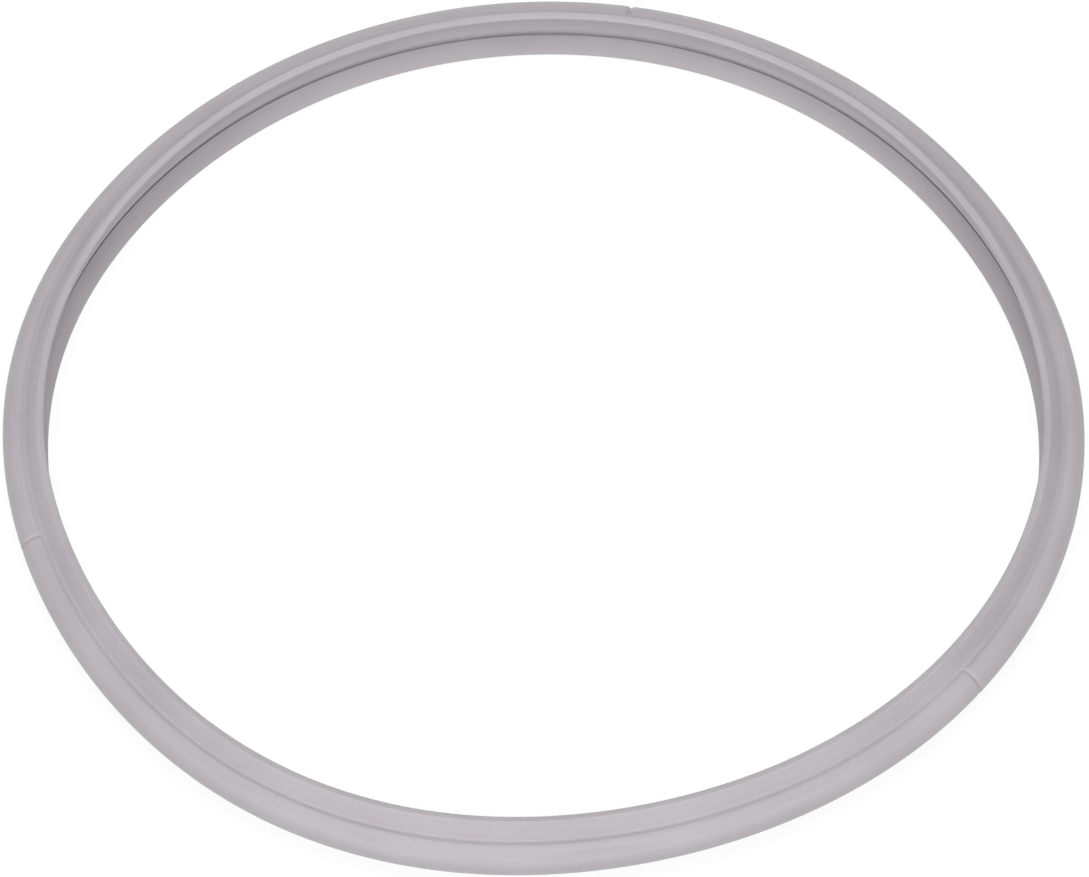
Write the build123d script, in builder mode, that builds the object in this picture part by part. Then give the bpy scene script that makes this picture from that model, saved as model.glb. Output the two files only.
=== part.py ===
"""Silicone sealing ring for the lid of a 22 cm stovetop pressure cooker.

The ring is one moulding. Its section is the same all the way round: a nearly round bead on the outside
and two lips that leave the bead inwards and spread apart, so that steam pressure in the hollow between
them pushes one lip against the lid and the other against the pot's rim. Three small grooves cross the
bead, about a third of a turn apart.

Frame: the origin is the ring's centre, halfway between its two lips, and +Z is the ring's axis.
"""

import os

from build123d import *

# Driving dimensions, in millimetres and degrees. A depth is measured inwards from the bead's outside
# and a height from the middle of the ring.
opening_diameter = 220.0  # across the inner edges of the lips
section_width = 9.5  # radial, from the bead's outside to a lip's inner edge

bead_round = 3.9  # radius of the bead's upper and lower rounds
bead_land = 0.4  # height of the straight band around the bead's outside
bead_arc = 91.5  # how far each round turns, from the land to the shoulder just past the top

crease_depth, crease_height = 5.2, 3.76  # the corner where a lip leaves the bead
edge_depth, edge_height = 7.91, 6.93  # a lip's outer edge, before it is rounded
tip_depth, tip_height = 9.86, 6.52  # a lip's inner edge, before it is rounded

wall_depth = 7.2  # the inside of the bead, which bulges into the hollow
wall_round = 2.65
wall_arc = 36.9  # how far the bulge turns each way before it runs straight into a channel

# A rounded channel between the bulge and a lip's root lets the lip bend
channel_width = 0.5
channel_reach = 1.42  # from the end of the bulge's round to the bottom of the channel
mouth_reach = 1.0  # from there to the channel's mouth, where the lip's inner face begins

shoulder_fillet = 0.3
crease_fillet = 0.8
edge_fillet = 0.5
tip_fillet = 0.45
mouth_fillet = 0.1
channel_fillet = 0.24

groove_angles = (79.9, 198.4, 321.4)  # from +X, counter-clockwise
groove_round = 0.6  # radius of a groove's section
groove_depth = 0.45
groove_reach = 96.0  # how far a groove runs each way over the bead, from its outside

# Places worked out from them
outer_radius = opening_diameter / 2 + section_width
bead_centre = outer_radius - bead_round
wall_centre = outer_radius - wall_depth + wall_round

# The section's upper half, mirrored to give the lower one
with BuildSketch(Plane.XZ) as ring_section:
    with BuildLine():
        bead = CenterArc((bead_centre, bead_land / 2), bead_round, 0, bead_arc)
        wall = CenterArc((wall_centre, 0), wall_round, 180 - wall_arc, wall_arc)
        shoulder = bead @ 1
        crease = Vector(outer_radius - crease_depth, crease_height)
        edge = Vector(outer_radius - edge_depth, edge_height)
        tip = Vector(outer_radius - tip_depth, tip_height)

        into_channel = Vector(1, 0).rotate(Axis.Z, 90 - wall_arc)
        across_channel = Vector(-1, 0).rotate(Axis.Z, -wall_arc)
        channel_near = wall @ 0 + into_channel * channel_reach
        channel_far = channel_near + across_channel * channel_width
        mouth = wall @ 0 + into_channel * mouth_reach + across_channel * channel_width

        Polyline(shoulder, crease, edge, tip, mouth, channel_far, channel_near, wall @ 0)
        Polyline(wall @ 1, (outer_radius, 0), bead @ 0)
    make_face()
    mirror(about=Plane.XZ)

    for corner, radius in (
        (shoulder, shoulder_fillet),
        (crease, crease_fillet),
        (edge, edge_fillet),
        (tip, tip_fillet),
        (mouth, mouth_fillet),
        (channel_far, channel_fillet),
        (channel_near, channel_fillet),
    ):
        # The corner and its mirror image below
        pair = ring_section.vertices().filter_by(
            lambda v: abs(v.X - corner.X) + abs(abs(v.Y) - corner.Y) < 0.001
        )
        fillet(pair, radius)

# A groove cutter: a bent rod that follows the bead's round from one shoulder to the other
rod_radius = bead_round + groove_round - groove_depth
with BuildPart() as groove_cutter:
    with BuildSketch(Plane.XY):
        with Locations((rod_radius, 0)):
            Circle(groove_round)
    revolve(axis=Axis.Y, revolution_arc=groove_reach)
    mirror(about=Plane.XY)

with BuildPart() as sealing_ring:
    add(ring_section.sketch)
    revolve(axis=Axis.Z)
    for groove_angle in groove_angles:
        with PolarLocations(bead_centre, 1, start_angle=groove_angle):
            add(groove_cutter.part, mode=Mode.SUBTRACT)

sealing_ring.part.label = "sealing_ring"

os.makedirs("parts", exist_ok=True)
export_step(sealing_ring.part, "parts/sealing_ring.step")
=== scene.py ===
"""Looks of the pressure cooker's silicone sealing ring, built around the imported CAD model.

Lengths are in metres, in the CAD model's frame: the ring's centre is the origin and +Z is its axis.
A section point is (x, z), where x is measured outwards from the ring's outer radius.
"""

from math import acos, atan2, ceil, cos, pi, radians, sin, sqrt

import bpy
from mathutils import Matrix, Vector


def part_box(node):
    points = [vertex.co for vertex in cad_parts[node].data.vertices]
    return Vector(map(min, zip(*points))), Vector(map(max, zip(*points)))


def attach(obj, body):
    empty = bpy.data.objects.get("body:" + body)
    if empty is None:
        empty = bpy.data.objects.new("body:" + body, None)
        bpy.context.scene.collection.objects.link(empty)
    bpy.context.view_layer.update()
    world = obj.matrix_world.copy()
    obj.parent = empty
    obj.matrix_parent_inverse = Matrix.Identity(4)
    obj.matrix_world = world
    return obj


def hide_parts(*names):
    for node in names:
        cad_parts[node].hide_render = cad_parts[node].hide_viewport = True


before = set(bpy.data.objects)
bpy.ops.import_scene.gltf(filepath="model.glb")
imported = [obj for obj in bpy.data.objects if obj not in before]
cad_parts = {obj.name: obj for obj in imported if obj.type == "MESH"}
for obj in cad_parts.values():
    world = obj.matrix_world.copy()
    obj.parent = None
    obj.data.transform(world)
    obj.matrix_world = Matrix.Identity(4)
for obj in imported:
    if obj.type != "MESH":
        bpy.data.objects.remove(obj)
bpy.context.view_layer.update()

MM = 0.001

# The ring's section, as in the CAD model. A point beside a round's radius is the round's centre.
ring_low, ring_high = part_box("sealing_ring")
OUTER_RADIUS = (ring_high.x - ring_low.x) / 2
BEAD_ROUND = 3.9 * MM
BEAD_LAND = 0.4 * MM
SHOULDER_ANGLE = radians(91)
SHOULDER_ROUND = 0.3 * MM
# The crease between the bead and the upper lip
CREASE = Vector((-4.91, 4.67)) * MM
CREASE_FILLET = 0.8 * MM
# The two edges of the lip's end
TIP_OUTER = Vector((-8.1, 6.38)) * MM
TIP_OUTER_ROUND = 0.5 * MM
TIP_INNER = Vector((-9.05, 6.23)) * MM
TIP_INNER_ROUND = 0.45 * MM
# The channel at the lip's root: the lip's edge beside it, and its bottom
CHANNEL_MOUTH = Vector((-6.477, 2.847)) * MM
CHANNEL_MOUTH_ROUND = 0.1 * MM
CHANNEL_END = Vector((-6.168, 2.676)) * MM
CHANNEL_END_ROUND = 0.25 * MM
# The wall between the lips bulges inwards
WALL_DEPTH = 7.2 * MM
WALL_ROUND = 2.65 * MM

# The grooves across the bead. Each fades out on the shoulder, at an angle seen from the bead's centre.
GROOVE_ANGLES = [radians(79.9), radians(198.4), radians(321.4)]
GROOVE_HALF_WIDTH = 0.65 * MM
GROOVE_DEPTH = 0.45 * MM
GROOVE_BOTTOM = 0.12 * MM
GROOVE_END = radians(105)
GROOVE_FADE = radians(12)

# Soft rubber lies a little out of round: (lobes, height of a lobe, direction of a lobe)
LOBES = [
    (2, 0.60 * MM, radians(49)),
    (3, 0.43 * MM, radians(-15)),
    (4, 0.64 * MM, radians(-17)),
    (5, 0.18 * MM, radians(30)),
    (6, 0.14 * MM, radians(1)),
]

# Mesh spacing
ARC_STEP = radians(9)
FEWEST_ARC_STEPS = 2
STRAIGHT_STEP = 1.0 * MM
SHORTEST_STEP = 0.001 * MM
RING_COLUMNS = 420
GROOVE_COLUMNS = 28
GROOVE_SPAN = radians(0.6)

# Silicone: colours, then sizes of its patterns in repeats per metre, their shares and their heights
SILICONE_DARK = (0.307, 0.286, 0.306, 1)
SILICONE_LIGHT = (0.347, 0.325, 0.344, 1)
STREAKS_PER_METRE = 1400
STREAK_LOOP = 6  # radius, in repeats, of the circle that the streaks' pattern follows round the ring
STREAK_DETAIL = 2
CLOUDS_PER_METRE = 45
CLOUD_DETAIL = 3
GRAINS_PER_METRE = 1500
GRAIN_DETAIL = 2
PEELS_PER_METRE = 260
PEEL_DETAIL = 2
CLOUD_SHARE = 0.6
STREAK_SHARE = 0.4
NOISE_LOW, NOISE_HIGH = 0.3, 0.7
GRAIN_HEIGHT = 0.012 * MM
PEEL_HEIGHT = 0.02 * MM
STREAK_HEIGHT = 0.008 * MM
ROUGHNESS_LOW, ROUGHNESS_HIGH = 0.42, 0.54
SILICONE_IOR = 1.41
SUBSURFACE_WEIGHT = 0.1
SUBSURFACE_RADIUS = (1.0, 0.85, 0.95)
SUBSURFACE_SCALE = 0.6 * MM

# Floor: an even white glow over a dark base, so that it looks white and hardly any shade shows on it
FLOOR_HALF_WIDTH = 4
FLOOR_COLOR = (0.08, 0.08, 0.08, 1)
FLOOR_ROUGHNESS = 0.9
GLOW_COLOR = (1, 1, 1, 1)
FLOOR_GLOW = 0.91

# Camera: the eye's place and what it looks at, then the lens and the sensor's width in millimetres
EYE_DISTANCE = 1.094
EYE_ELEVATION = radians(53.07)
EYE_TARGET = Vector((0.4 * MM, -7.3 * MM, 0))
LENS = 162.9
SENSOR = 36
CLIP_START, CLIP_END = 0.05, 20

# Soft boxes: name, centre, width and depth, power in watts
SOFT_BOXES = [
    ("front_low", (0, -1.7, 0.45), (1.6, 0.6), 11.6),
    ("front_mid", (0, -1.4, 1.1), (1.4, 0.8), 2),
    ("top", (0, 0, 1.9), (1.2, 1.0), 26.5),
    ("back_high", (0, 0.9, 1.6), (1.4, 0.8), 3.8),
    ("back_low", (0, 1.7, 0.45), (1.6, 0.6), 9),
    ("left_mid", (-1.5, 0, 1.0), (0.9, 0.9), 7),
    ("right_mid", (1.5, 0, 1.0), (0.9, 0.9), 5.2),
    ("front_left", (-1.15, -1.15, 0.9), (0.9, 0.9), 12),
    ("front_right", (1.15, -1.15, 0.9), (0.9, 0.9), 12),
]


# ------------------------------------------------------------------ the section

def polar(length, angle):
    """The 2-D vector of a length in a direction."""
    return Vector((cos(angle), sin(angle))) * length


def arc(centre, radius, start, end):
    """Points on an arc from one direction to the other, ends included."""
    steps = max(FEWEST_ARC_STEPS, ceil(abs(end - start) / ARC_STEP))
    return [centre + polar(radius, start + (end - start) * i / steps) for i in range(steps + 1)]


def shared_direction(first, second):
    """The direction, seen from their centres, in which two rounds touch the line that joins them."""
    (centre, radius), (next_centre, next_radius) = first, second
    way = next_centre - centre
    turn = acos(max(-1, min(1, (radius - next_radius) / way.length)))
    return atan2(way.y, way.x) - turn


def with_straights(points):
    """The points without repeats and with every long straight between them divided."""
    result = [points[0]]
    for point in points[1:]:
        last = result[-1]
        if (point - last).length < SHORTEST_STEP:
            continue
        steps = ceil((point - last).length / STRAIGHT_STEP)
        result += [last.lerp(point, i / steps) for i in range(1, steps + 1)]
    return result


def upper_section():
    """Points of the section's upper half, from the middle of the bead's land over the bead, the crease,
    the lip and the channel at its root to the middle of the bulging wall between the lips.

    Each round is a centre and a radius, negative where the outline is hollow, and straight faces join
    the rounds.
    """
    bead = Vector((-BEAD_ROUND, BEAD_LAND / 2))
    wall = Vector((WALL_ROUND - WALL_DEPTH, 0))
    rounds = [
        (bead, BEAD_ROUND),
        (bead + polar(BEAD_ROUND - SHOULDER_ROUND, SHOULDER_ANGLE), SHOULDER_ROUND),
        (CREASE, -CREASE_FILLET),
        (TIP_OUTER, TIP_OUTER_ROUND),
        (TIP_INNER, TIP_INNER_ROUND),
        (CHANNEL_MOUTH, CHANNEL_MOUTH_ROUND),
        (CHANNEL_END, -CHANNEL_END_ROUND),
        (wall, WALL_ROUND),
    ]
    turns = [0, *(shared_direction(a, b) % (2 * pi) for a, b in zip(rounds, rounds[1:])), pi]
    points = [Vector((0, 0))]
    for (centre, radius), start, end in zip(rounds, turns, turns[1:]):
        points += arc(centre, radius, start, end)
    return with_straights(points)


def ring_section():
    """The whole section as a closed loop of points, starting at the middle of the bead's land."""
    upper = upper_section()
    lower = [Vector((point.x, -point.y)) for point in reversed(upper[1:-1])]
    return upper + lower


# --------------------------------------------------------------------- the mesh

def column_angles():
    """Angles of the mesh's columns round the ring: even, and much closer at the grooves."""
    even = [2 * pi * i / RING_COLUMNS for i in range(RING_COLUMNS)]
    margin = GROOVE_SPAN + pi / RING_COLUMNS
    angles = [a for a in even if all(turn_between(a, g) > margin for g in GROOVE_ANGLES)]
    for groove in GROOVE_ANGLES:
        angles += [groove + GROOVE_SPAN * (2 * i / GROOVE_COLUMNS - 1) for i in range(GROOVE_COLUMNS + 1)]
    return sorted(a % (2 * pi) for a in angles)


def turn_between(a, b):
    """The smaller angle between two directions, without sign."""
    return abs((a - b + pi) % (2 * pi) - pi)


def groove_depth(angle):
    """How deep the grooves cut at an angle round the ring: a V with a rounded bottom."""
    off = min(turn_between(angle, groove) for groove in GROOVE_ANGLES) * OUTER_RADIUS
    rise = sqrt(off * off + GROOVE_BOTTOM ** 2) - GROOVE_BOTTOM
    full = sqrt(GROOVE_HALF_WIDTH ** 2 + GROOVE_BOTTOM ** 2) - GROOVE_BOTTOM
    return GROOVE_DEPTH * max(0, 1 - rise / full)


def bead_share(point):
    """How fully a groove cuts at a section point, and the way it cuts there: towards the centre of the
    bead's round, or straight inwards on its land.

    The share is 1 on the bead's round, fades over the shoulder and is 0 on the lips and the wall.
    """
    side = 1 if point.y >= 0 else -1
    away = point - Vector((-BEAD_ROUND, side * BEAD_LAND / 2))
    angle = abs(atan2(away.y * side, away.x))
    share = min(1, max(0, (GROOVE_END - angle) / GROOVE_FADE))
    if abs(point.y) <= BEAD_LAND / 2:
        away = Vector((1, 0))
    return share * share * (3 - 2 * share), -away.normalized()


def out_of_round(angle):
    """How far the relaxed ring stands out from a true circle at an angle."""
    return sum(height * cos(lobes * (angle - peak)) for lobes, height, peak in LOBES)


def ring_mesh():
    """The ring as one closed mesh of quads."""
    section = ring_section()
    shares = [bead_share(point) for point in section]
    angles = column_angles()
    rows = len(section)
    points = []
    for angle in angles:
        depth = groove_depth(angle)
        radius = OUTER_RADIUS + out_of_round(angle)
        for point, (share, inward) in zip(section, shares):
            cut = point + inward * (depth * share)
            points.append(((radius + cut.x) * cos(angle), (radius + cut.x) * sin(angle), cut.y))
    faces = []
    for i in range(len(angles)):
        here, ahead = i * rows, (i + 1) % len(angles) * rows
        for j in range(rows):
            up = (j + 1) % rows
            faces.append((here + j, ahead + j, ahead + up, here + up))
    mesh = bpy.data.meshes.new("sealing_ring_silicone")
    mesh.from_pydata(points, [], faces)
    mesh.shade_smooth()
    return mesh


# ----------------------------------------------------------------- the materials

def new_material(name):
    """A node material with an empty tree, its nodes and a function that joins two sockets."""
    material = bpy.data.materials.new(name)
    material.use_nodes = True
    tree = material.node_tree
    tree.nodes.clear()
    return material, tree.nodes, tree.links.new


def maths(nodes, join, operation, *values):
    """The output of a Math node whose inputs are the values, each a number or a socket."""
    node = nodes.new("ShaderNodeMath")
    node.operation = operation
    for socket, value in zip(node.inputs, values):
        if isinstance(value, (int, float)):
            socket.default_value = value
        else:
            join(value, socket)
    return node.outputs[0]


def noise(nodes, join, vector, scale, detail, turn=None):
    """The value of a Noise texture at a place, or at a place and a fourth number."""
    texture = nodes.new("ShaderNodeTexNoise")
    if turn is not None:
        texture.noise_dimensions = "4D"
        join(turn, texture.inputs["W"])
    join(vector, texture.inputs["Vector"])
    texture.inputs["Scale"].default_value = scale
    texture.inputs["Detail"].default_value = detail
    return texture.outputs["Fac"]


def spread(nodes, join, value, low, high):
    """A noise value stretched over a range."""
    node = nodes.new("ShaderNodeMapRange")
    node.inputs["From Min"].default_value = NOISE_LOW
    node.inputs["From Max"].default_value = NOISE_HIGH
    node.inputs["To Min"].default_value = low
    node.inputs["To Max"].default_value = high
    join(value, node.inputs["Value"])
    return node.outputs["Result"]


def silicone():
    """Pale grey silicone with a slight lilac cast: a fine matte grain, faint flow streaks that run
    round the ring, soft cloudy changes of tone and a little light carried under the surface."""
    material, nodes, join = new_material("silicone")
    output = nodes.new("ShaderNodeOutputMaterial")
    shader = nodes.new("ShaderNodeBsdfPrincipled")

    # The place on the ring: distance from the axis, height and direction
    place = nodes.new("ShaderNodeTexCoord").outputs["Object"]
    parts = nodes.new("ShaderNodeSeparateXYZ")
    join(place, parts.inputs[0])
    x, y, z = parts.outputs
    radius = maths(nodes, join, "SQRT", maths(nodes, join, "ADD", maths(nodes, join, "MULTIPLY", x, x),
                                              maths(nodes, join, "MULTIPLY", y, y)))
    streak_place = nodes.new("ShaderNodeCombineXYZ")
    join(maths(nodes, join, "MULTIPLY", radius, STREAKS_PER_METRE), streak_place.inputs[0])
    join(maths(nodes, join, "MULTIPLY", z, STREAKS_PER_METRE), streak_place.inputs[1])
    join(maths(nodes, join, "MULTIPLY", maths(nodes, join, "DIVIDE", x, radius), STREAK_LOOP),
         streak_place.inputs[2])
    streak_turn = maths(nodes, join, "MULTIPLY", maths(nodes, join, "DIVIDE", y, radius), STREAK_LOOP)

    streaks = noise(nodes, join, streak_place.outputs[0], 1, STREAK_DETAIL, streak_turn)
    clouds = noise(nodes, join, place, CLOUDS_PER_METRE, CLOUD_DETAIL)
    grain = noise(nodes, join, place, GRAINS_PER_METRE, GRAIN_DETAIL)
    orange_peel = noise(nodes, join, place, PEELS_PER_METRE, PEEL_DETAIL)

    # Tone: clouds and streaks shift it between a slightly darker and a slightly lighter lilac grey
    tone = maths(nodes, join, "ADD", maths(nodes, join, "MULTIPLY", clouds, CLOUD_SHARE),
                 maths(nodes, join, "MULTIPLY", streaks, STREAK_SHARE))
    mix = nodes.new("ShaderNodeMix")
    mix.data_type = "RGBA"
    join(spread(nodes, join, tone, 0, 1), mix.inputs["Factor"])
    mix.inputs["A"].default_value = SILICONE_DARK
    mix.inputs["B"].default_value = SILICONE_LIGHT
    join(mix.outputs["Result"], shader.inputs["Base Color"])

    join(spread(nodes, join, clouds, ROUGHNESS_LOW, ROUGHNESS_HIGH), shader.inputs["Roughness"])
    shader.inputs["IOR"].default_value = SILICONE_IOR
    shader.inputs["Subsurface Weight"].default_value = SUBSURFACE_WEIGHT
    shader.inputs["Subsurface Radius"].default_value = SUBSURFACE_RADIUS
    shader.inputs["Subsurface Scale"].default_value = SUBSURFACE_SCALE

    # Relief: grain, orange peel and streaks
    relief = maths(nodes, join, "ADD", maths(nodes, join, "MULTIPLY", grain, GRAIN_HEIGHT),
                   maths(nodes, join, "ADD", maths(nodes, join, "MULTIPLY", orange_peel, PEEL_HEIGHT),
                         maths(nodes, join, "MULTIPLY", streaks, STREAK_HEIGHT)))
    bump = nodes.new("ShaderNodeBump")
    bump.inputs["Strength"].default_value = 1
    bump.inputs["Distance"].default_value = 1
    join(relief, bump.inputs["Height"])
    join(bump.outputs["Normal"], shader.inputs["Normal"])
    join(shader.outputs["BSDF"], output.inputs["Surface"])
    return material


def paper():
    """The plain white floor: matte, and lit mostly by its own glow."""
    material, nodes, join = new_material("paper")
    output = nodes.new("ShaderNodeOutputMaterial")
    shader = nodes.new("ShaderNodeBsdfPrincipled")
    shader.inputs["Base Color"].default_value = FLOOR_COLOR
    shader.inputs["Roughness"].default_value = FLOOR_ROUGHNESS
    shader.inputs["Specular IOR Level"].default_value = 0
    shader.inputs["Emission Color"].default_value = GLOW_COLOR
    shader.inputs["Emission Strength"].default_value = FLOOR_GLOW
    join(shader.outputs["BSDF"], output.inputs["Surface"])
    return material


# --------------------------------------------------------------- camera and light

def link(obj):
    """The object, added to the scene."""
    bpy.context.scene.collection.objects.link(obj)
    return obj


def make_camera():
    """A long lens above and in front of the ring, aimed just in front of its centre."""
    camera = link(bpy.data.objects.new("camera", bpy.data.cameras.new("camera")))
    camera.data.lens = LENS
    camera.data.sensor_width = SENSOR
    camera.location = Vector((0, -cos(EYE_ELEVATION), sin(EYE_ELEVATION))) * EYE_DISTANCE
    camera.rotation_mode = "QUATERNION"
    camera.rotation_quaternion = (EYE_TARGET - camera.location).to_track_quat("-Z", "Y")
    camera.data.clip_start = CLIP_START
    camera.data.clip_end = CLIP_END
    bpy.context.scene.camera = camera


def make_light():
    """Large soft boxes on all sides and above, aimed at the ring's centre."""
    for name, centre, size, power in SOFT_BOXES:
        light = bpy.data.lights.new(name, "AREA")
        light.shape = "RECTANGLE"
        light.size, light.size_y = size
        light.energy = power
        box = link(bpy.data.objects.new(name, light))
        box.location = centre
        box.rotation_mode = "QUATERNION"
        box.rotation_quaternion = (-box.location).to_track_quat("-Z", "Y")


def make_floor():
    """A wide flat floor at the ring's lowest point."""
    half = FLOOR_HALF_WIDTH
    mesh = bpy.data.meshes.new("floor")
    corners = [(-half, -half), (half, -half), (half, half), (-half, half)]
    mesh.from_pydata([(x, y, ring_low.z) for x, y in corners], [], [(0, 1, 2, 3)])
    mesh.materials.append(paper())
    link(bpy.data.objects.new("floor", mesh))


make_camera()
make_light()
make_floor()

ring = link(bpy.data.objects.new("silicone_ring", ring_mesh()))
ring.data.materials.append(silicone())
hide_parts("sealing_ring")
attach(ring, "root")

bpy.context.scene.view_settings.view_transform = "Standard"
